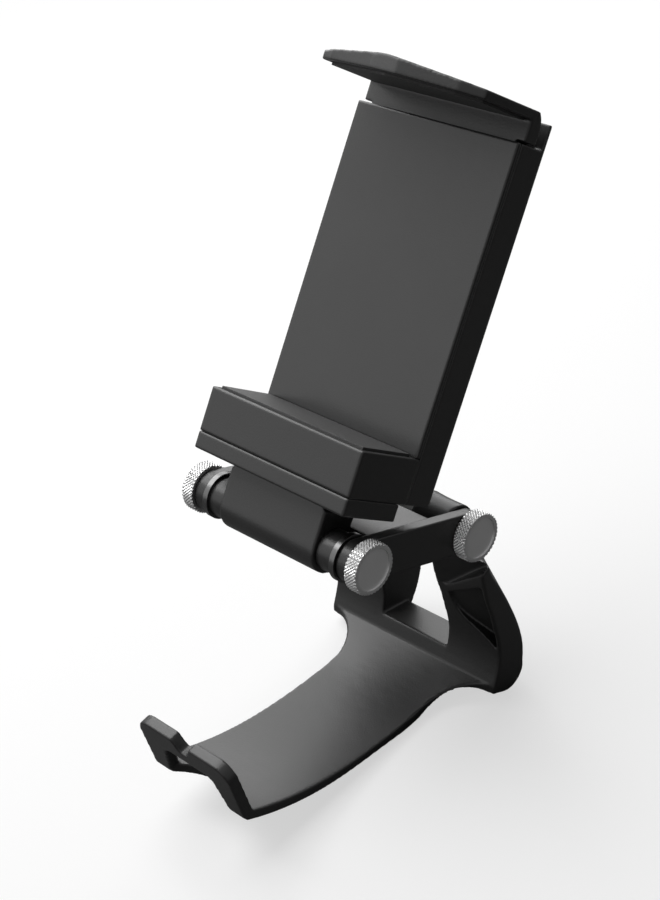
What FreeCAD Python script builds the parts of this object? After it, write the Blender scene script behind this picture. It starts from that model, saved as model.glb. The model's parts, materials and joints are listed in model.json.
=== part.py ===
# Clip that holds a phone above a game controller: cradle, two-axis link and spring clamp.
import FreeCAD, Part
import math
import os

# Axes: X runs across, +Y to the back of the controller, +Z up. All lengths in mm, angles in degrees.
# The cradle is drawn with its fold line at Y = 0, Z = 0, and the whole clip is then tipped
# by rest_pitch about X, so that it stands on the underside of its strip.
rest_pitch = 13.0

# Cradle strip, the part that passes under the controller
strip_wall = 2.0
strip_half = 12.85
strip_front = -58.5
strip_front_rise = -4.7
strip_dip = -8.1
strip_dip_y = -36.3
strip_quarter = -6.5
strip_quarter_y = -18.7
flare_radius = 10.2
flare_rise = -4.7
prong_width = 3.9
front_bow = 5.5

# Front lip
lip_height = 12.4
lip_wall = 2.4
lip_lean = 20.0
lip_corner = 3.6
lip_window_half_low = 8.4
lip_window_half_high = 6.4
lip_window_height = 7.0
lip_notch_half_top = 2.5
lip_notch_half_low = 0.9
lip_notch_depth = 2.9

# Arms at the back of the cradle
arm_inner = 9.1
arm_foot = -0.6
sill_height = 3.2
sill_front = 0.9
sill_back = 8.8
heel_drop = 2.8
fold_drop = 1.9
ear_outer = 17.5
hook_top = 30.2
face_setback = 3.4
ledge_foot = 19.8
ledge_start = 11.6
ledge_slope = 0.6
hollow_low = 7.8
hollow_top = 24.8
hollow_corner = 18.9
rim_wall = 1.0

# Hinge axes
low_axis_y = -6.7
low_axis_z = 37.4
eye_radius = 4.9
link_reach = 30.0
link_rise = 10.0
bolt_radius = 2.0
bore_gap = 0.05
bush_radius = 3.0

# Link: two side plates joined by a web
side_gap = 0.3
plate_thick = 2.7
link_half_height = 4.2
web_half_height = 2.3
web_gap = 1.3

# Knobs and the stack beside the fork
knob_radius = 4.9
knob_thick = 2.8
knob_cap_radius = 4.1
knob_cap_inset = 0.5
knob_cap_recess = 0.25
knob_grooves = 36
knob_groove_depth = 0.25
washer_radius = 4.7
washer_thick = 1.2
spacer_radius = 4.1
stack_gap = 0.1
nut_across = 7.0
nut_thick = 3.2

# Clamp, drawn upright with the phone plate at y = 0 and its shelf at z = 0, then leaned back
clamp_lean = 25.0
clamp_half = 19.8
clamp_depth = 8.8
phone_gap = 64.0
plate_wall = 1.3
shell_wall = 1.3
shell_side = 1.7
shell_top = 59.5
shell_back_top = 64.4
jaw_reach = 15.4
jaw_wall = 3.2
jaw_gable = 1.4
jaw_nose = 3.8
jaw_bend = 5.0
jaw_corner_x = 4.4
jaw_corner_y = 2.4
leg_wall = 3.6
leg_bottom = 18.5
slide_gap = 0.3
pad_wall = 1.2
pad_inset = 1.3
spring_offset = 8.8
spring_radius = 1.4
spring_wire = 0.25
spring_low = 2.2
spring_window_top = 32.0
spring_window_half = 2.4
seam_drop = 8.8
block_bottom = -12.3
block_back = -0.6
lug_axis_y = -6.6
lug_axis_z = -20.4
lug_half = 12.6
lug_neck_back = 3.6
screw_radius = 1.0
screw_head_radius = 1.9
screw_head_height = 1.1
screw_x = 13.8

os.makedirs("parts", exist_ok=True)


def vec(x, y, z):
    return FreeCAD.Vector(x, y, z)


X_AXIS = vec(1, 0, 0)
ORIGIN = vec(0, 0, 0)
low_axis = (low_axis_y, low_axis_z)
rise = math.radians(link_rise)
high_axis = (low_axis_y - link_reach * math.cos(rise), low_axis_z + link_reach * math.sin(rise))
arm_outer = strip_half + flare_radius
link_inner = ear_outer + side_gap
link_outer = link_inner + plate_thick
knob_seat = link_outer + stack_gap
shell_bottom = -seam_drop


def side_line(x, start, end):
    return Part.LineSegment(vec(x, *start), vec(x, *end)).toShape()


def side_arc(x, start, middle, end):
    return Part.Arc(vec(x, *start), vec(x, *middle), vec(x, *end)).toShape()


def side_curve(x, points):
    curve = Part.BSplineCurve()
    curve.interpolate([vec(x, *point) for point in points])
    return curve.toShape()


def rod(radius, x_start, x_end, y=0.0, z=0.0):
    low = min(x_start, x_end)
    return Part.makeCylinder(radius, abs(x_end - x_start), vec(low, y, z), X_AXIS)


def block(x, y, z):
    return Part.makeBox(x[1] - x[0], y[1] - y[0], z[1] - z[0], vec(x[0], y[0], z[0]))


def mirrored(shape):
    return shape.mirror(ORIGIN, X_AXIS)


def polar(centre, radius, angle):
    turn = math.radians(angle)
    return (centre[0] + radius * math.cos(turn), centre[1] + radius * math.sin(turn))


def extrude_face(edges, direction):
    face = Part.Face(Part.Wire(Part.__sortEdges__(edges)))
    return face.extrude(direction)


# Cradle

def strip_section(half_width):
    """The strip, its sill and its heel as one band, seen from the side and drawn across the full width."""
    top_points = [
        (strip_front, strip_front_rise),
        (strip_dip_y, strip_dip),
        (strip_quarter_y, strip_quarter),
        (-flare_radius, flare_rise),
        (0.0, 0.0),
    ]
    under_points = [
        (strip_front - 0.3, strip_front_rise - strip_wall),
        (strip_dip_y, strip_dip - strip_wall),
        (strip_quarter_y, strip_quarter - strip_wall),
        (-flare_radius, flare_rise - strip_wall),
        (0.0, -fold_drop),
        (sill_back - 3.4, -heel_drop),
        (sill_back - 0.5, -1.0),
        (sill_back, sill_height),
    ]
    x = -half_width
    sill = (sill_front, sill_height)
    edges = [
        side_curve(x, top_points),
        side_line(x, top_points[-1], sill),
        side_line(x, sill, under_points[-1]),
        side_curve(x, under_points),
        side_line(x, under_points[0], top_points[0]),
    ]
    return extrude_face(edges, vec(2 * half_width, 0, 0))


def strip_plan():
    """Outline of the strip from above: prongs, bowed front edge and the flare to the arms."""
    low = -30.0
    side = strip_half
    front = strip_front - 2.0
    back = sill_back + 4.0
    prong = side - prong_width
    turn = flare_radius * (1 - math.sqrt(0.5))

    def line(start, end):
        return Part.LineSegment(vec(*start, low), vec(*end, low)).toShape()

    def arc(start, middle, end):
        return Part.Arc(vec(*start, low), vec(*middle, low), vec(*end, low)).toShape()

    edges = []
    for way in (-1, 1):
        edges.append(line((way * prong, front), (way * side, front)))
        edges.append(line((way * side, front), (way * side, -flare_radius)))
        edges.append(arc((way * side, -flare_radius), (way * (side + turn), -turn), (way * arm_outer, 0)))
        edges.append(line((way * arm_outer, 0), (way * arm_outer, back)))
    edges.append(line((-arm_outer, back), (arm_outer, back)))
    edges.append(arc((-prong, front), (0, strip_front + front_bow), (prong, front)))
    return extrude_face(edges, vec(0, 0, 60))


def arm_front(shift):
    """Front edge of an arm from its foot to the eye, moved back by shift."""
    heights = ((-0.1, arm_foot), (sill_front - 0.05, sill_height), (1.3, 6.2), (1.1, 9.2),
               (-0.2, 13.2), (-1.6, 17.4), (-3.4, 21.6), (-4.9, 26.5))
    return [(y + shift, z) for y, z in heights]


def arm_wire(x):
    """Side outline of an arm at the distance x from the middle: it is deepest beside the gap."""
    share = (x - arm_inner) / (arm_outer - arm_inner)
    front = arm_front(0) + [polar(low_axis, eye_radius, 205)]
    inner = ((sill_back - 0.5, arm_foot), (11.9, 5.2), (13.1, 10.4), (12.4, 17.4), (8.8, 24.6), (3.6, 30.6))
    outer = ((sill_back - 0.5, arm_foot), (8.9, 5.2), (7.4, 10.6), (4.2, 17.0), (0.0, 23.8), (-3.0, 28.6))
    back = [(a + share * (c - a), b + share * (d - b)) for (a, b), (c, d) in zip(inner, outer)]
    back.append(polar(low_axis, eye_radius, 15 - 60 * share))
    edges = [
        side_curve(x, front),
        side_arc(x, front[-1], polar(low_axis, eye_radius, 100), back[-1]),
        side_curve(x, back),
        side_line(x, back[0], front[0]),
    ]
    return Part.Wire(Part.__sortEdges__(edges))


def face_wire(x):
    """Outline, at x, of the space in front of the arm's sunk face, which turns away outward."""
    shift = face_setback * (x - arm_inner) / (arm_outer - arm_inner)
    crown = polar(low_axis, eye_radius + 0.3, 205)
    face = arm_front(shift) + [crown]
    clear = crown[0] - 10.0
    edges = [
        side_curve(x, face),
        side_line(x, crown, (clear, crown[1])),
        side_line(x, (clear, crown[1]), (clear, arm_foot)),
        side_line(x, (clear, arm_foot), face[0]),
    ]
    return Part.Wire(Part.__sortEdges__(edges))


def front_line(start, end):
    return Part.LineSegment(vec(start[0], 0, start[1]), vec(end[0], 0, end[1])).toShape()


def front_region(edges, slope):
    """Prism through an arm from an outline drawn in front view; its walls climb backward by slope."""
    reach = 25.0
    region = extrude_face(edges, vec(0, 2 * reach, 2 * reach * slope))
    region.translate(vec(0, -reach - 4.0, -reach * slope))
    return region


def ear_region():
    """Front view of the ear's sunk face: all that lies above the slanted ledge."""
    corners = [
        (arm_inner - 2, ledge_foot),
        (ledge_start, ledge_foot),
        (arm_outer + 1, hook_top),
        (arm_outer + 1, hook_top + 30),
        (arm_inner - 2, hook_top + 30),
    ]
    edges = [front_line(a, b) for a, b in zip(corners, corners[1:] + corners[:1])]
    return front_region(edges, ledge_slope)


def hollow_region():
    """Front view of the leaf-shaped hollow under the hook."""
    side = arm_outer - rim_wall
    inner = (ledge_start + 0.5, hollow_corner)
    low = (side, hollow_low)
    curve = Part.BSplineCurve()
    curve.interpolate([vec(spot[0], 0, spot[1]) for spot in (low, (18.7, 10.4), (13.8, 13.8), inner)])
    edges = [
        curve.toShape(),
        front_line(inner, (side, hollow_top)),
        front_line((side, hollow_top), low),
    ]
    return front_region(edges, 0.0)


def cradle_arm(sunk):
    """The right arm; sunk says whether its front has the ledge, the sunk ear face and the hollow."""
    arm = Part.makeLoft([arm_wire(arm_inner), arm_wire(arm_outer)], True, True)
    if sunk:
        face = Part.makeLoft([face_wire(arm_inner - 1), face_wire(arm_outer + 1)], True, True)
        arm = arm.cut([face.common(ear_region()), face.common(hollow_region())])
    crown_y = low_axis_y + 0.7
    above = hook_top + 30
    nose = (crown_y - 14, hook_top - 0.6)
    tail = (crown_y + 14, hook_top - 3.2)
    edges = [
        side_curve(ear_outer, [nose, (crown_y, hook_top), (crown_y + 3.6, hook_top - 0.4), tail]),
        side_line(ear_outer, tail, (tail[0], above)),
        side_line(ear_outer, (tail[0], above), (nose[0], above)),
        side_line(ear_outer, (nose[0], above), nose),
    ]
    return arm.cut(extrude_face(edges, vec(arm_outer, 0, 0)))


def lip_plate():
    """The front lip, drawn standing on its foot line and then leaned towards the player."""
    half = strip_half
    top = lip_height
    corner = lip_corner
    turn = corner * (1 - math.sqrt(0.5))
    foot = -1.2

    def line(start, end):
        return Part.LineSegment(vec(start[0], 0, start[1]), vec(end[0], 0, end[1])).toShape()

    def arc(start, middle, end):
        spots = [vec(spot[0], 0, spot[1]) for spot in (start, middle, end)]
        return Part.Arc(*spots).toShape()

    edges = []
    for way in (-1, 1):
        window_corner = 1.6
        slope = (lip_window_half_low - lip_window_half_high) / lip_window_height
        edges += [
            line((way * lip_window_half_low, foot), (way * half, foot)),
            line((way * half, foot), (way * half, top - corner)),
            arc((way * half, top - corner), (way * (half - turn), top - turn), (way * (half - corner), top)),
            line((way * (half - corner), top), (way * lip_notch_half_top, top)),
            line((way * lip_notch_half_top, top), (way * lip_notch_half_low, top - lip_notch_depth)),
        ]
        knee = lip_window_height - window_corner
        knee_x = lip_window_half_low - slope * knee
        edges.append(line((way * lip_window_half_low, foot), (way * knee_x, knee)))
        edges.append(arc(
            (way * knee_x, knee),
            (way * (lip_window_half_high - 0.25), lip_window_height - 0.4),
            (way * (lip_window_half_high - window_corner), lip_window_height),
        ))
    low = top - lip_notch_depth
    edges.append(line((-lip_notch_half_low, low), (lip_notch_half_low, low)))
    reach = lip_window_half_high - 1.6
    edges.append(line((-reach, lip_window_height), (reach, lip_window_height)))
    plate = extrude_face(edges, vec(0, lip_wall, 0))
    plate.rotate(ORIGIN, X_AXIS, lip_lean)
    plate.translate(vec(0, strip_front - lip_wall / 2, strip_front_rise - 0.4))
    return plate


def controller_cradle():
    strip = strip_section(arm_outer).common(strip_plan())
    arms = [cradle_arm(True), mirrored(cradle_arm(False))]
    body = strip.fuse(arms + [lip_plate()]).removeSplitter()
    return body.cut(rod(bush_radius, -ear_outer, ear_outer, *low_axis))


def hexagon(across, x_start, x_end):
    radius = across / math.sqrt(3)
    corners = [polar((0, 0), radius, 60 * turn + 30) for turn in range(7)]
    wire = Part.makePolygon([vec(x_start, *corner) for corner in corners])
    return Part.Face(wire).extrude(vec(x_end - x_start, 0, 0))


# Knobs, bolts and the stack

def knob_rim(way, bore):
    """Metal knob with a grooved edge and a shallow seat in its face for the cap."""
    start = way * knob_seat
    end = way * (knob_seat + knob_thick)
    rim = rod(knob_radius, start, end)
    seat = rod(knob_cap_radius, end - way * (knob_cap_inset + knob_cap_recess), end)
    cuts = [seat, rod(bore, start, end)]
    groove = knob_groove_depth
    for turn in range(knob_grooves):
        angle = 360 * turn / knob_grooves
        tip = polar((0, 0), knob_radius - groove, angle)
        left = polar((0, 0), knob_radius + groove, angle - 180 / knob_grooves)
        right = polar((0, 0), knob_radius + groove, angle + 180 / knob_grooves)
        wire = Part.makePolygon([vec(start, *spot) for spot in (tip, left, right, tip)])
        cuts.append(Part.Face(wire).extrude(vec(end - start, 0, 0)))
    return rim.cut(cuts)


def knob_cap(way):
    end = way * (knob_seat + knob_thick - knob_cap_recess)
    return rod(knob_cap_radius, end - way * knob_cap_inset, end)


def hinge_bolt(x_end):
    start = knob_seat + knob_thick - knob_cap_inset - knob_cap_recess
    return rod(bolt_radius, x_end, start)


def at_axis(shape, axis):
    moved = shape.copy()
    moved.translate(vec(0, *axis))
    return moved


def hex_nut():
    """Nut on the far end of the lower bolt, seated on the link's left plate."""
    body = hexagon(nut_across, -link_outer - nut_thick, -link_outer)
    return body.cut(rod(bolt_radius + bore_gap, -30, 0))


def ring(outer, inner, x_start, x_end):
    return rod(outer, x_start, x_end).cut(rod(inner, x_start, x_end))


# Link

def link_arm():
    """Two side plates with an eye at each end, joined by a web; drawn lying along -Y."""
    half = link_half_height
    body = block((-link_inner, link_inner), (-link_reach + eye_radius + web_gap, -eye_radius - web_gap),
                 (-web_half_height, web_half_height))
    for way in (-1, 1):
        span = sorted((way * link_inner, way * link_outer))
        plate = block(span, (-link_reach, 0), (-half, half))
        ends = [rod(half, *span), rod(half, *span, -link_reach)]
        body = body.fuse([plate] + ends)
    body = body.removeSplitter()
    bore = bolt_radius + bore_gap
    return body.cut([rod(bore, -link_outer, link_outer), rod(bore, -link_outer, link_outer, -link_reach)])


def place_link(shape):
    moved = shape.copy()
    moved.rotate(ORIGIN, X_AXIS, -link_rise)
    moved.translate(vec(0, *low_axis))
    return moved


# Clamp pieces, upright

def clamp_shell():
    """Channel behind the phone plate: back wall, side walls and a floor, open at the top."""
    outer = block((-clamp_half, clamp_half), (plate_wall, clamp_depth), (shell_bottom, shell_top))
    tall = block((-clamp_half, clamp_half), (clamp_depth - shell_wall, clamp_depth), (shell_top, shell_back_top))
    inside = clamp_half - shell_side
    hollow = block((-inside, inside), (plate_wall, clamp_depth - shell_wall), (0.6, shell_top))
    body = outer.fuse(tall).cut(hollow)
    rails = []
    rail_front = plate_wall + 0.3 + leg_wall + slide_gap
    for way in (-1, 1):
        span = sorted((way * (inside - 2.0), way * inside))
        rails.append(block(span, (rail_front, clamp_depth - shell_wall), (0.6, shell_top - 6)))
    body = body.fuse(rails)
    for way in (-1, 1):
        pin = Part.makeCylinder(0.8, clamp_depth - shell_wall - plate_wall,
                                vec(way * spring_offset, plate_wall, spring_low), vec(0, 1, 0))
        body = body.fuse(pin)
    body = body.removeSplitter()
    corner = [edge for edge in body.Edges if is_long_back_edge(edge)]
    body = body.makeFillet(1.0, corner)
    holes = [screw_hole(way * screw_x, shell_bottom / 2) for way in (-1, 1)]
    return body.cut(holes)


def is_long_back_edge(edge):
    box = edge.BoundBox
    upright = box.XLength < 0.01 and box.YLength < 0.01
    at_back = abs(box.YMax - clamp_depth) < 0.01
    at_side = abs(abs(box.XMax) - clamp_half) < 0.01
    return upright and at_back and at_side


def screw_hole(x, z):
    stem = Part.makeCylinder(screw_radius, 30, vec(x, -jaw_reach + 4, z), vec(0, 1, 0))
    head = Part.makeCylinder(screw_head_radius + 0.2, 4, vec(x, clamp_depth - screw_head_height, z), vec(0, 1, 0))
    return stem.fuse(head)


def shell_screws():
    screws = []
    for way in (-1, 1):
        x = way * screw_x
        z = shell_bottom / 2
        stem = Part.makeCylinder(screw_radius, clamp_depth + 6, vec(x, -6, z), vec(0, 1, 0))
        head = Part.makeCylinder(screw_head_radius, screw_head_height,
                                 vec(x, clamp_depth - screw_head_height, z), vec(0, 1, 0))
        screws.append(stem.fuse(head).removeSplitter())
    return Part.makeCompound(screws)


def phone_plate():
    return block((-clamp_half, clamp_half), (0, plate_wall), (0, shell_top))


def lower_jaw():
    body = block((-clamp_half, clamp_half), (-jaw_reach, plate_wall), (-seam_drop, 0))
    seat = block((-clamp_half + pad_inset, clamp_half - pad_inset), (-jaw_reach + pad_inset, -0.6), (-pad_wall, 1))
    holes = [screw_hole(way * screw_x, shell_bottom / 2) for way in (-1, 1)]
    return body.cut([seat] + holes + block_screw_holes())


def block_screw_holes():
    holes = []
    for way in (-1, 1):
        spot = vec(way * screw_x, -jaw_reach / 2 - 2.5, block_bottom - 1)
        holes.append(Part.makeCylinder(screw_radius, 8, spot))
        holes.append(Part.makeCylinder(screw_head_radius + 0.2, 1 + screw_head_height, spot))
    return holes


def block_screws():
    screws = []
    for way in (-1, 1):
        spot = vec(way * screw_x, -jaw_reach / 2 - 2.5, block_bottom)
        stem = Part.makeCylinder(screw_radius, 6.5, spot)
        head = Part.makeCylinder(screw_head_radius, screw_head_height, spot)
        screws.append(stem.fuse(head).removeSplitter())
    return Part.makeCompound(screws)


def lower_pad():
    return block((-clamp_half + pad_inset, clamp_half - pad_inset),
                 (-jaw_reach + pad_inset, -0.6), (-pad_wall, 0.5))


def hinge_block():
    """Base of the clamp below the seam, with the lug that sits in the link's fork."""
    base = block((-clamp_half, clamp_half), (-jaw_reach, block_back), (block_bottom, -seam_drop))
    lug = rod(eye_radius, -lug_half, lug_half, lug_axis_y, lug_axis_z)
    neck_front = lug_axis_y - eye_radius
    neck_back = lug_axis_y + lug_neck_back
    neck = block((-lug_half, lug_half), (neck_front, neck_back), (lug_axis_z, block_bottom))
    body = base.fuse([lug, neck]).removeSplitter()
    bore = rod(bush_radius, -lug_half, lug_half, lug_axis_y, lug_axis_z)
    return body.cut([bore] + block_screw_holes())


def jaw_plan(z_low, z_high, margin):
    """Outline of the jaw from above: a shallow point in front with cut corners."""
    half = clamp_half - margin
    front = -jaw_reach + margin
    nose = front - jaw_nose * (1 - margin / clamp_half)
    side = front + jaw_corner_y
    spots = [
        (-half, plate_wall),
        (-half, side),
        (-half + jaw_corner_x, front),
        (0, nose),
        (half - jaw_corner_x, front),
        (half, side),
        (half, plate_wall),
    ]
    wire = Part.makePolygon([vec(x, y, z_low) for x, y in spots + spots[:1]])
    return Part.Face(wire).extrude(vec(0, 0, z_high - z_low))


def jaw_roof():
    """Space above the jaw's two top faces, which fall from the middle to the sides."""
    top = phone_gap + jaw_wall
    fall = jaw_gable * (clamp_half + 1) / clamp_half
    front = -jaw_reach - jaw_nose - 2
    spots = [
        (0, top),
        (clamp_half + 1, top - fall),
        (clamp_half + 1, top + 5),
        (-clamp_half - 1, top + 5),
        (-clamp_half - 1, top - fall),
    ]
    wire = Part.makePolygon([vec(x, front, z) for x, z in spots + spots[:1]])
    return Part.Face(wire).extrude(vec(0, clamp_depth - front + 2, 0))


def jaw_side(x_half):
    """Side view of the jaw: flange, outer bend and the leg that slides in the shell."""
    leg_front = plate_wall + slide_gap
    leg_back = leg_front + leg_wall
    top = phone_gap + jaw_wall
    bend = jaw_bend
    turn = bend * (1 - math.sqrt(0.5))
    front = -jaw_reach - jaw_nose - 1
    x = -x_half
    edges = [
        side_line(x, (front, phone_gap), (leg_front, phone_gap)),
        side_line(x, (leg_front, phone_gap), (leg_front, leg_bottom)),
        side_line(x, (leg_front, leg_bottom), (leg_back, leg_bottom)),
        side_line(x, (leg_back, leg_bottom), (leg_back, top - bend)),
        side_arc(x, (leg_back, top - bend), (leg_back - turn, top - turn), (leg_back - bend, top)),
        side_line(x, (leg_back - bend, top), (front, top)),
        side_line(x, (front, top), (front, phone_gap)),
    ]
    return extrude_face(edges, vec(2 * x_half, 0, 0))


def upper_jaw():
    flange = jaw_side(clamp_half).common(jaw_plan(phone_gap, phone_gap + jaw_wall + 1, 0.0))
    inside = clamp_half - shell_side - slide_gap
    leg = jaw_side(inside)
    keep = block((-inside, inside), (plate_wall, clamp_depth), (leg_bottom, phone_gap + jaw_wall))
    cheek = jaw_side(clamp_half).common(
        block((-clamp_half, clamp_half), (plate_wall, clamp_depth), (shell_top + 0.4, phone_gap + jaw_wall)))
    body = flange.fuse([leg.common(keep), cheek]).removeSplitter()
    cuts = [jaw_roof()]
    for way in (-1, 1):
        x = way * spring_offset
        cuts.append(block((x - spring_window_half, x + spring_window_half), (0, clamp_depth),
                          (leg_bottom - 1, spring_window_top)))
    cuts.append(jaw_plan(phone_gap - 1, phone_gap + 0.7, pad_inset))
    body = body.cut(cuts)
    pins = []
    for way in (-1, 1):
        x = way * spring_offset
        pin = Part.makeCylinder(0.6, 2 * spring_window_half,
                                vec(x - spring_window_half, plate_wall + slide_gap + leg_wall / 2,
                                    spring_window_top - 1.4), X_AXIS)
        pins.append(pin)
    return body.fuse(pins)


def upper_pad():
    gap = 0.15
    return jaw_plan(phone_gap - 0.5, phone_gap + 0.7, pad_inset + gap)


def jaw_spring(way):
    """Return spring: a close helix with a straight leg to each pin."""
    low = spring_low + 1.6
    high = spring_window_top - 2.6
    turns = 14
    x = way * spring_offset
    y = plate_wall + slide_gap + leg_wall / 2
    helix = Part.makeHelix((high - low) / turns, high - low, spring_radius)
    section = Part.Wire(Part.makeCircle(spring_wire, vec(spring_radius, 0, 0), vec(0, 1, 0)))
    coil = Part.Wire(helix).makePipeShell([section], True, True)
    coil.translate(vec(x, y, low))
    return coil


def place_clamp(shape):
    moved = shape.copy()
    moved.translate(vec(0, -lug_axis_y, -lug_axis_z))
    moved.rotate(ORIGIN, X_AXIS, -clamp_lean)
    moved.translate(vec(0, *high_axis))
    return moved


# Assembly

washer_end = link_inner - stack_gap
washer_start = washer_end - washer_thick
spacer_start = lug_half + stack_gap

pieces = {
    "controller_cradle": controller_cradle(),
    "lower_nut": at_axis(hex_nut(), low_axis),
    "lower_knob_rim": at_axis(knob_rim(1, bolt_radius), low_axis),
    "lower_knob_cap": at_axis(knob_cap(1), low_axis),
    "lower_bolt": at_axis(hinge_bolt(-link_outer - nut_thick), low_axis),
    "link_arm": place_link(link_arm()),
    "lower_bush": at_axis(ring(bush_radius, bolt_radius + bore_gap, -ear_outer, ear_outer), low_axis),
    "upper_knob_rim": at_axis(knob_rim(1, bolt_radius), high_axis),
    "upper_knob_cap": at_axis(knob_cap(1), high_axis),
    "upper_bolt": at_axis(hinge_bolt(-knob_seat - knob_thick / 2), high_axis),
    "upper_thumb_nut": at_axis(knob_rim(-1, bolt_radius + bore_gap), high_axis),
    "upper_nut_cap": at_axis(knob_cap(-1), high_axis),
    "clamp_shell": place_clamp(clamp_shell()),
    "phone_plate": place_clamp(phone_plate()),
    "lower_jaw": place_clamp(lower_jaw()),
    "lower_jaw_pad": place_clamp(lower_pad()),
    "hinge_block": place_clamp(hinge_block()),
    "upper_bush": at_axis(ring(bush_radius, bolt_radius + bore_gap, -lug_half, lug_half), high_axis),
    "shell_screws": place_clamp(shell_screws()),
    "block_screws": place_clamp(block_screws()),
    "upper_jaw": place_clamp(upper_jaw()),
    "upper_jaw_pad": place_clamp(upper_pad()),
    "spring_left": place_clamp(jaw_spring(-1)),
    "spring_right": place_clamp(jaw_spring(1)),
}
for side, way in (("right", 1), ("left", -1)):
    washer = ring(washer_radius, bolt_radius + bore_gap, way * washer_start, way * washer_end)
    spacer = ring(spacer_radius, bolt_radius + bore_gap, way * spacer_start, way * washer_start)
    pieces["upper_washer_" + side] = at_axis(washer, high_axis)
    pieces["upper_spacer_" + side] = at_axis(spacer, high_axis)

# The whole clip is tipped to its resting pose and set down with its lowest point at Z = 0.
for shape in pieces.values():
    shape.rotate(ORIGIN, X_AXIS, -rest_pitch)
box = Part.makeCompound(list(pieces.values())).optimalBoundingBox(False, False)
ground = vec(-box.Center.x, -box.Center.y, -box.ZMin)
for name, shape in pieces.items():
    shape.translate(ground)
    shape.exportStep("parts/" + name + ".step")
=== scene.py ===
# A phone clip that stands on a game controller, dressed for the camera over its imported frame.
import json
import math

import bmesh
import bpy
from mathutils import Matrix, Vector


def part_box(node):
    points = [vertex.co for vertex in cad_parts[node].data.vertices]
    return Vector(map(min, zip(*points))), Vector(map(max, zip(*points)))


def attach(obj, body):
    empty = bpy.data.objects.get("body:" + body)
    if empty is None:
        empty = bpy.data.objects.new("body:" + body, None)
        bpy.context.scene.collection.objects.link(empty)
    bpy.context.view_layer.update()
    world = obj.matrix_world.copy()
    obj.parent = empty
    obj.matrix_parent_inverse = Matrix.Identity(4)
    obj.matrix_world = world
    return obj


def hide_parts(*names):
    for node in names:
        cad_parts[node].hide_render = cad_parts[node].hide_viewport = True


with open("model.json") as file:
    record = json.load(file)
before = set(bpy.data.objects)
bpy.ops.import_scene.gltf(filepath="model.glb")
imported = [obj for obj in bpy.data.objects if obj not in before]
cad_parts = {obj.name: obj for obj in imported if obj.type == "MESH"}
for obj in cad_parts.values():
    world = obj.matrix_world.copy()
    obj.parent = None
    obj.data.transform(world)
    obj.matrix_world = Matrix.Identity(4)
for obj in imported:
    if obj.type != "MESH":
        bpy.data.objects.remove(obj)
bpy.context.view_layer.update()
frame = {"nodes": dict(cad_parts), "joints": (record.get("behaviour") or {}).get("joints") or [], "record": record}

# Camera. It stands to the right and above the front, where the upper view of the picture was taken.
# The cradle rests tipped forward a little, so the camera is tipped with it.
rest_pitch = math.radians(-13.0)
view_azimuth = math.radians(45.0)
view_elevation = math.radians(26.5)
view_distance = 0.34
view_target = Vector((0.0, 0.0, 0.0625))

tip = Matrix.Rotation(rest_pitch, 3, "X")
backward = tip @ Vector((
    math.sin(view_azimuth) * math.cos(view_elevation),
    -math.cos(view_azimuth) * math.cos(view_elevation),
    math.sin(view_elevation),
))
sideways = (tip @ Vector((0, 0, 1))).cross(backward).normalized()
upward = backward.cross(sideways)
camera = bpy.data.objects.new("camera", bpy.data.cameras.new("camera"))
camera.data.lens = 72.0
camera.data.clip_start = 0.01
aim = Matrix((sideways, upward, backward)).transposed().to_4x4()
camera.matrix_world = Matrix.Translation(view_target + backward * view_distance) @ aim
bpy.context.scene.collection.objects.link(camera)
bpy.context.scene.camera = camera


# Cradle: one black moulding, satin from a finely eroded mould, with every edge broken by a small radius.
# The strip, its lip and both arms have the same grain.
class Signal:
    """One output socket of a node tree; arithmetic on it adds the Math nodes."""

    def __init__(self, tree, socket):
        self.tree = tree
        self.socket = socket

    def math(self, operation, first, second):
        node = self.tree.nodes.new("ShaderNodeMath")
        node.operation = operation
        feed(self.tree, node.inputs[0], first)
        feed(self.tree, node.inputs[1], second)
        return Signal(self.tree, node.outputs[0])

    def __add__(self, other):
        return self.math("ADD", self, other)

    def __mul__(self, other):
        return self.math("MULTIPLY", self, other)

    __radd__ = __add__
    __rmul__ = __mul__


def feed(tree, socket, value):
    if isinstance(value, Signal):
        tree.links.new(value.socket, socket)
    elif value is not None:
        socket.default_value = value


class Wiring:
    """A node tree; add() makes a node from its type, settings and sockets and gives one of its outputs."""

    def add(self, kind, settings=None, sockets=None, output=0):
        node = self.tree.nodes.new(kind)
        for name, value in (settings or {}).items():
            setattr(node, name, value)
        for name, value in (sockets or {}).items():
            feed(self.tree, node.inputs[name], value)
        return Signal(self.tree, node.outputs[output])


class Finish(Wiring):
    """A material with its shader, patterned by the place on the piece."""

    def __init__(self, name):
        self.material = bpy.data.materials.new(name)
        self.material.use_nodes = True
        self.tree = self.material.node_tree
        self.shader = self.tree.nodes["Principled BSDF"]
        self.place = self.add("ShaderNodeTexCoord", output="Object")

    def set(self, **values):
        for name, value in values.items():
            feed(self.tree, self.shader.inputs[name.replace("_", " ")], value)

    def noise(self, size, detail=2.0, place=None):
        """Noise whose grains are about size metres across."""
        sockets = {"Vector": place or self.place, "Scale": 1.0 / size, "Detail": detail}
        return self.add("ShaderNodeTexNoise", {}, sockets, "Fac")

    def blend(self, share, low, high):
        return self.add("ShaderNodeMix", {"data_type": "RGBA"}, {0: share, 6: low, 7: high}, 2)

    def relief(self, height, depth, edge=None):
        """Bump of the given depth in metres, over edges rounded by the radius edge where one is given."""
        sockets = {"Height": height, "Distance": depth, "Strength": 1.0}
        if edge:
            sockets["Normal"] = self.add("ShaderNodeBevel", {"samples": 6}, {"Radius": edge})
        self.set(Normal=self.add("ShaderNodeBump", {}, sockets))


def grey(level):
    return (level, level, level, 1.0)


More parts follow.
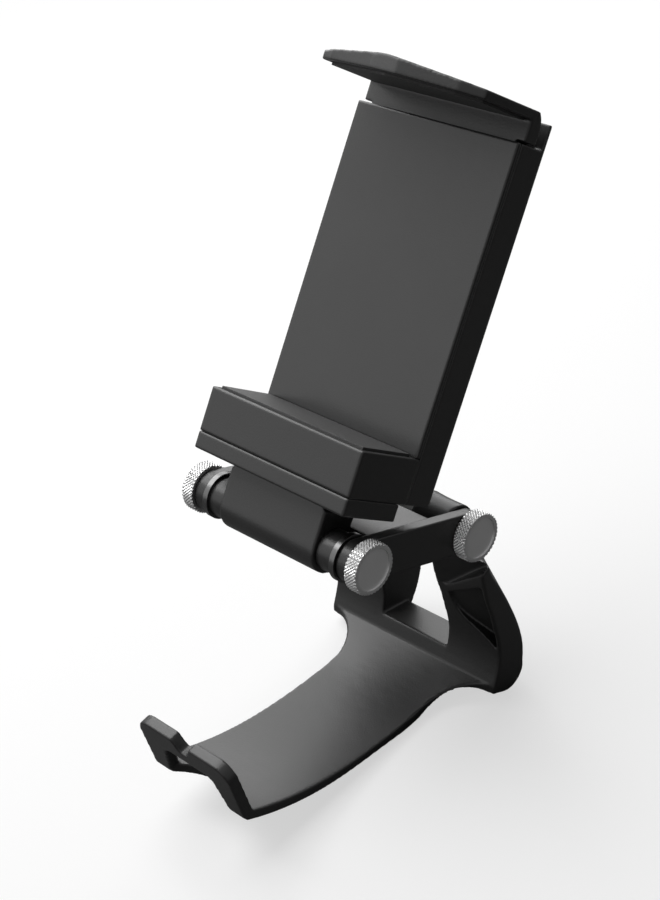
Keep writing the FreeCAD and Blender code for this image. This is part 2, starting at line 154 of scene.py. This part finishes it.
def moulded(name, level, roughness, grain, edge=None):
    """Plastic or rubber with a grain of this size in metres and a faint cloudiness across the piece."""
    unevenness = 0.12
    cloud_size = 0.018
    grain_depth = grain * 0.06
    finish = Finish(name)
    cloud = finish.noise(cloud_size, detail=3.0)
    speck = finish.noise(grain)
    finish.set(
        Base_Color=finish.blend(cloud, grey(level * (1 - unevenness)), grey(level * (1 + unevenness))),
        Roughness=speck * unevenness + (roughness - unevenness / 2),
    )
    finish.relief(speck, grain_depth, edge)
    return finish.material


nodes = frame["nodes"]
body_of_node = {}
for body, members in frame["record"]["behaviour"]["bodies"].items():
    body_of_node.update(dict.fromkeys(members, body))


def soften(name, material, grid, share=0.35, lean=0.0, planed=None):
    """The node's moulding with its edges rounded over: remeshed on a grid, smoothed, then thinned.

    The grid leans back with the piece by lean, so that its flat faces stay flat. planed is a point and an
    outward direction; what lies beyond that plane is planed off first."""
    weld_gap = 0.000002
    merged = bmesh.new()
    merged.from_mesh(nodes[name].data)
    bmesh.ops.remove_doubles(merged, verts=merged.verts, dist=weld_gap)
    if planed:
        point, outward = planed
        everything = list(merged.verts) + list(merged.edges) + list(merged.faces)
        cut = bmesh.ops.bisect_plane(
            merged, geom=everything, plane_co=point, plane_no=outward, clear_outer=True)
        rim = [edge for edge in cut["geom_cut"] if isinstance(edge, bmesh.types.BMEdge)]
        bmesh.ops.edgenet_fill(merged, edges=rim)
    mesh = bpy.data.meshes.new(name + "_form")
    merged.transform(Matrix.Rotation(lean, 4, "X"))
    merged.to_mesh(mesh)
    merged.free()
    piece = bpy.data.objects.new(name + "_form", mesh)
    bpy.context.scene.collection.objects.link(piece)
    grown = piece.modifiers.new("grid", "REMESH")
    grown.mode = "VOXEL"
    grown.voxel_size = grid
    smooth = piece.modifiers.new("round", "SMOOTH")
    smooth.factor = 0.5
    smooth.iterations = 4
    thin = piece.modifiers.new("thin", "DECIMATE")
    thin.ratio = share
    evaluated = piece.evaluated_get(bpy.context.evaluated_depsgraph_get())
    done = bpy.data.meshes.new_from_object(evaluated)
    piece.modifiers.clear()
    piece.data = done
    done.transform(Matrix.Rotation(-lean, 4, "X"))
    done.name = name + "_moulding"
    done.polygons.foreach_set("use_smooth", [True] * len(done.polygons))
    done.materials.clear()
    done.materials.append(material)
    piece.name = name + "_moulding"
    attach(piece, body_of_node[name])
    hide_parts(name)


black_moulding = moulded("black_moulding", level=0.034, roughness=0.34, grain=0.00035)
soften("controller_cradle", black_moulding, grid=0.00028)


# Nut, bolts and bushes: turned and rolled steel, satin bright, with fine marks round the bar.
# The bushes are pressed into the ears and the lug, and the nut sits on the end of its bolt.
def turned_steel(name, level, roughness):
    marks_length = 0.0006
    marks_thinness = 6.0
    finish = Finish(name)
    thinned = {"Vector": finish.place, "Scale": (marks_thinness, 1.0, 1.0)}
    around = finish.add("ShaderNodeMapping", {}, thinned)
    marks = finish.noise(marks_length, detail=3.0, place=around)
    finish.set(
        Metallic=1.0,
        Base_Color=finish.blend(marks, grey(level * 0.85), grey(level * 1.1)),
        Roughness=marks * 0.2 + (roughness - 0.1),
    )
    finish.relief(marks, depth=0.00001, edge=0.0001)
    return finish.material


def dress(name, material):
    """A piece of the frame that keeps its own shape gets its material and slot."""
    piece = nodes[name]
    piece.data.materials.clear()
    piece.data.materials.append(material)


steel = turned_steel("satin_steel", level=0.62, roughness=0.34)
for name in ("lower_nut", "lower_bolt", "upper_bolt", "lower_bush", "upper_bush"):
    dress(name, steel)


# Thumb knobs: turned aluminium with a knurled rim and a separate matt face plate let into the outer end.
# The knurl is rolled into the rim as rows of fine pointed studs.
def face_turned(name, centre, level, roughness):
    """Metal faced on a lathe: fine rings round the axis X through centre."""
    ring_width = 0.00012
    cloud_size = 0.004
    finish = Finish(name)
    moved = finish.add("ShaderNodeVectorMath", {"operation": "SUBTRACT"}, {0: finish.place, 1: centre})
    flat = finish.add("ShaderNodeVectorMath", {"operation": "MULTIPLY"}, {0: moved, 1: (0, 1, 1)})
    radius = finish.add("ShaderNodeVectorMath", {"operation": "LENGTH"}, {0: flat}, "Value")
    along = finish.add("ShaderNodeCombineXYZ", {}, {"X": radius})
    rings = finish.noise(ring_width, place=along)
    cloud = finish.noise(cloud_size, detail=3.0)
    finish.set(
        Metallic=1.0,
        Base_Color=finish.blend(rings, grey(level * 0.92), grey(level * 1.06)),
        Roughness=cloud * 0.1 + (roughness - 0.05),
    )
    finish.relief(rings, depth=0.000006, edge=0.00012)
    return finish.material


joints = {joint["name"]: joint for joint in frame["joints"]}
lower_axis = Vector(joints["lower_tilt"]["pos_m"])
upper_axis = Vector(joints["upper_tilt"]["pos_m"])
face_plates = {"lower_knob_cap": lower_axis, "upper_knob_cap": upper_axis, "upper_nut_cap": upper_axis}
for name, axis in face_plates.items():
    dress(name, face_turned(name + "_metal", axis, level=0.74, roughness=0.5))
rims = {"lower_knob_rim": lower_axis, "upper_knob_rim": upper_axis, "upper_thumb_nut": upper_axis}
for name, axis in rims.items():
    dress(name, face_turned(name + "_metal", axis, level=0.72, roughness=0.34))


class Growth(Wiring):
    """A Geometry Nodes tree with named inputs, which grows a plain mesh."""

    def __init__(self, name, inputs):
        self.tree = bpy.data.node_groups.new(name, "GeometryNodeTree")
        self.tree.interface.new_socket("Geometry", in_out="INPUT", socket_type="NodeSocketGeometry")
        for label, kind in inputs.items():
            self.tree.interface.new_socket(label, in_out="INPUT", socket_type="NodeSocket" + kind)
        self.tree.interface.new_socket("Geometry", in_out="OUTPUT", socket_type="NodeSocketGeometry")
        self.entry = self.tree.nodes.new("NodeGroupInput")

    def given(self, label):
        return Signal(self.tree, self.entry.outputs[label])

    def close(self, geometry, material):
        solid = self.add("GeometryNodeRealizeInstances", {}, {"Geometry": geometry})
        coated = self.add("GeometryNodeSetMaterial", {}, {"Geometry": solid, "Material": material})
        feed(self.tree, self.tree.nodes.new("NodeGroupOutput").inputs["Geometry"], coated)

    def grow(self, name, mesh, body, slot, at=(0, 0, 0), **values):
        """A plain mesh grown from mesh with these input values, moved by at, riding on body."""
        piece = bpy.data.objects.new(name, mesh)
        bpy.context.scene.collection.objects.link(piece)
        modifier = piece.modifiers.new("growth", "NODES")
        modifier.node_group = self.tree
        for item in self.tree.interface.items_tree:
            if item.in_out == "INPUT" and item.name in values:
                modifier[item.identifier] = values[item.name]
        evaluated = piece.evaluated_get(bpy.context.evaluated_depsgraph_get())
        done = bpy.data.meshes.new_from_object(evaluated)
        piece.modifiers.clear()
        piece.data = done
        done.transform(Matrix.Translation(at))
        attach(piece, body)


knurl = Growth("knurl", {
    "Radius": "Float",
    "Length": "Float",
    "Count": "Int",
    "Rows": "Int",
    "Point": "Float",
})
drum = knurl.add("GeometryNodeMeshCylinder", {"fill_type": "NONE"}, {
    "Vertices": knurl.given("Count"),
    "Side Segments": knurl.given("Rows"),
    "Radius": knurl.given("Radius"),
    "Depth": knurl.given("Length"),
})
drum_corners = knurl.add("GeometryNodeMeshToPoints", {"mode": "VERTICES"}, {"Mesh": drum})
drum_middles = knurl.add("GeometryNodeMeshToPoints", {"mode": "FACES"}, {"Mesh": drum})
spots = knurl.add("GeometryNodeJoinGeometry", {}, {"Geometry": drum_corners})
feed(knurl.tree, spots.socket.node.inputs["Geometry"], drum_middles)
spot_place = knurl.add("GeometryNodeInputPosition")
outward = knurl.add("ShaderNodeVectorMath", {"operation": "MULTIPLY"}, {0: spot_place, 1: (1, 1, 0)})
aimed = knurl.add("FunctionNodeAlignRotationToVector", {"axis": "Z"}, {"Vector": outward})
stud_steepness = 0.9
stud = knurl.add("GeometryNodeMeshCone", {"fill_type": "NONE"}, {
    "Vertices": 4,
    "Radius Top": 0.0,
    "Radius Bottom": knurl.given("Point"),
    "Depth": knurl.given("Point") * stud_steepness,
})
studs = knurl.add("GeometryNodeInstanceOnPoints", {}, {"Points": spots, "Instance": stud, "Rotation": aimed})
laid = knurl.add("GeometryNodeTransform", {}, {"Geometry": studs, "Rotation": (0, math.pi / 2, 0)})
knurl.close(laid, face_turned("knurled_metal", lower_axis, level=0.78, roughness=0.3))
knurl_sizes = {"Radius": 0.00478, "Length": 0.0021, "Count": 48, "Rows": 3, "Point": 0.0004}
for name in rims:
    rim_low, rim_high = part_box(name)
    rim_middle = (Vector(rim_low) + Vector(rim_high)) / 2
    bare = bpy.data.meshes.new(name + "_knurl")
    knurl.grow(name + "_knurl", bare, body_of_node[name], "knob_metal", rim_middle, **knurl_sizes)


# Link and the stack between its plates: the link and the sleeves are the cradle's plastic, and the rings
# beside the link's plates are blackened steel.
link_slope = upper_axis - lower_axis
link_lean = math.atan2(link_slope.z, -link_slope.y)
soften("link_arm", black_moulding, grid=0.00025, lean=link_lean)
black_steel = turned_steel("blackened_steel", level=0.16, roughness=0.3)
for side in ("right", "left"):
    dress("upper_spacer_" + side, black_moulding)
    dress("upper_washer_" + side, black_steel)


# Clamp body: shell, jaw block and hinge block are moulded like the cradle, and held by black screws.
# The phone plate is a separate flat sheet with a smoother face.
slide_axis = joints["jaw_slide"]["axis"]
clamp_lean = math.atan2(slide_axis[1], slide_axis[2])
for name in ("clamp_shell", "lower_jaw", "hinge_block"):
    soften(name, black_moulding, grid=0.00028, lean=clamp_lean)
plate_black = moulded("plate_black", level=0.05, roughness=0.2, grain=0.00028)
soften("phone_plate", plate_black, grid=0.00025, lean=clamp_lean)
for name in ("shell_screws", "block_screws"):
    dress(name, black_steel)


# Screw heads: the four black screws have low domed heads with a six-sided socket for a key.
# Two hold the shell to the jaw block from behind, and two hold the hinge block from below.
def socket_head(radius, socket, height):
    """A domed ring on Z = 0 round a six-sided hole, which measures twice socket from side to side."""
    sides = 24
    angles = [2 * math.pi * number / sides for number in range(sides)]
    hexagon = [socket / math.cos((angle + math.pi / 6) % (math.pi / 3) - math.pi / 6) for angle in angles]
    profile = (
        ([radius] * sides, 0),
        ([radius] * sides, height * 0.45),
        ([radius * 0.82] * sides, height),
        (hexagon, height),
        (hexagon, height * 0.1),
    )
    form = bmesh.new()
    rings = []
    for spans, z in profile:
        points = [(span * math.cos(angle), span * math.sin(angle), z) for span, angle in zip(spans, angles)]
        rings.append([form.verts.new(point) for point in points])
    for outer, inner in zip(rings, rings[1:] + rings[:1]):
        for number in range(sides):
            following = (number + 1) % sides
            form.faces.new((outer[number], outer[following], inner[following], inner[number]))
    bmesh.ops.recalc_face_normals(form, faces=form.faces)
    mesh = bpy.data.meshes.new("socket_head")
    form.to_mesh(mesh)
    form.free()
    return mesh


heads = Growth("screw_heads", {"Head": "Object"})
facing = heads.add("GeometryNodeInputNamedAttribute", {"data_type": "FLOAT_VECTOR"}, {"Name": "facing"})
upright = heads.add("FunctionNodeAlignRotationToVector", {"axis": "Z"}, {"Vector": facing})
pattern = heads.add("GeometryNodeObjectInfo", {}, {"Object": heads.given("Head")}, "Geometry")
set_heads = heads.add("GeometryNodeInstanceOnPoints", {}, {
    "Points": heads.given("Geometry"),
    "Instance": pattern,
    "Rotation": upright,
})
heads.close(set_heads, black_steel)
clamp_turn = Matrix.Rotation(-clamp_lean, 3, "X")
clamp_back = clamp_turn @ Vector((0, 1, 0))
clamp_down = clamp_turn @ Vector((0, 0, -1))
flat_within = 0.00002
seats = []
for name, way in (("shell_screws", clamp_back), ("block_screws", clamp_down)):
    corners = [vertex.co for vertex in nodes[name].data.vertices]
    outermost = max(corner.dot(way) for corner in corners)
    top = [corner for corner in corners if outermost - corner.dot(way) < flat_within]
    for side in (-1, 1):
        on_side = [corner for corner in top if corner.x * side > 0]
        seats.append((sum(on_side, Vector()) / len(on_side), way))
seat_mesh = bpy.data.meshes.new("screw_seats")
seat_mesh.from_pydata([seat for seat, way in seats], [], [])
facings = seat_mesh.attributes.new("facing", "FLOAT_VECTOR", "POINT")
facings.data.foreach_set("vector", [value for seat, way in seats for value in way])
head_mesh = socket_head(radius=0.00175, socket=0.00085, height=0.0004)
pattern_head = bpy.data.objects.new("socket_pattern", head_mesh)
heads.grow("screw_sockets", seat_mesh, "clamp", "black_steel", Head=pattern_head)
bpy.data.objects.remove(pattern_head)


# Upper jaw: one moulding with its sliding leg, drawn down by two steel springs in the shell.
# Its nose ends in a short flat facet.
clamp_front = clamp_turn @ Vector((0, -1, 0))
nose = max((vertex.co for vertex in nodes["upper_jaw"].data.vertices), key=clamp_front.dot)
nose_facet = 0.00075
nose_plane = (nose - clamp_front * nose_facet, clamp_front)
soften(
    "upper_jaw", black_moulding,
    grid=0.00026, share=0.5, lean=clamp_lean, planed=nose_plane,
)
for name in ("spring_left", "spring_right"):
    dress(name, steel)


# Grip pads: thin soft rubber glued into the seats of both jaws, dull and very finely pitted.
# Their edges are broken by a fifth of a millimetre.
grip_rubber = moulded("grip_rubber", level=0.05, roughness=0.6, grain=0.0003, edge=0.0002)
for name in ("lower_jaw_pad", "upper_jaw_pad"):
    dress(name, grip_rubber)


# Studio: one lamp overhead, a broad one behind on the left and a weak one in front on the left, over
# white paper. Paper and room are white to the camera but dim to the object, so that its black sides have
# little to reflect.
def lamp(name, place, size, power):
    light = bpy.data.lights.new(name, "AREA")
    light.shape = "RECTANGLE"
    light.size, light.size_y = size
    light.energy = power
    holder = bpy.data.objects.new(name, light)
    holder.location = place
    holder.rotation_euler = (view_target - Vector(place)).to_track_quat("-Z", "Y").to_euler()
    bpy.context.scene.collection.objects.link(holder)


lamp("overhead", place=(-0.26, 0.02, 0.54), size=(0.5, 0.6), power=3.4)
lamp("back_left", place=(-0.45, 0.50, 0.30), size=(0.9, 0.6), power=3.4)
lamp("front_left", place=(-0.45, -0.40, 0.40), size=(0.7, 0.7), power=1.0)

floor_reach = 3.0
floor_mesh = bpy.data.meshes.new("floor")
floor_mesh.from_pydata(
    [(x * floor_reach, y * floor_reach, 0) for x, y in ((-1, -1), (1, -1), (1, 1), (-1, 1))],
    [],
    [(0, 1, 2, 3)],
)
floor = bpy.data.objects.new("floor", floor_mesh)
bpy.context.scene.collection.objects.link(floor)
paper_white = 0.92
paper_to_object = 0.12
paper = Finish("white_paper")
by_camera = paper.add("ShaderNodeLightPath", output="Is Camera Ray")
paper.set(Base_Color=paper.blend(by_camera, grey(paper_to_object), grey(paper_white)), Roughness=0.9)
glow = paper.add("ShaderNodeEmission", {}, {"Color": (1, 1, 1, 1), "Strength": 1.0})
lit = Signal(paper.tree, paper.shader.outputs[0])
away = paper.add("ShaderNodeVectorMath", {"operation": "LENGTH"}, {0: paper.place}, "Value")
fading = paper.add("ShaderNodeMapRange", {}, {
    "Value": away,
    "From Min": 0.08,
    "From Max": 0.45,
    "To Min": 0.6,
    "To Max": 1.0,
})
surface = paper.add("ShaderNodeMixShader", {}, {0: by_camera * fading, 1: lit, 2: glow})
feed(paper.tree, paper.tree.nodes["Material Output"].inputs["Surface"], surface)
floor_mesh.materials.append(paper.material)

room_light = 0.045
room_reflection = 0.4
world = bpy.data.worlds.new("studio")
bpy.context.scene.world = world
world.use_nodes = True
backdrop = world.node_tree.nodes["Background"]
backdrop.inputs["Color"].default_value = (1, 1, 1, 1)
rays = world.node_tree.nodes.new("ShaderNodeLightPath")
to_camera = Signal(world.node_tree, rays.outputs["Is Camera Ray"])
to_gloss = Signal(world.node_tree, rays.outputs["Is Glossy Ray"])
white = to_camera.math("MAXIMUM", to_camera, to_gloss * room_reflection)
feed(world.node_tree, backdrop.inputs["Strength"], white * (1 - room_light) + room_light)

bpy.context.scene.view_settings.view_transform = "Standard"
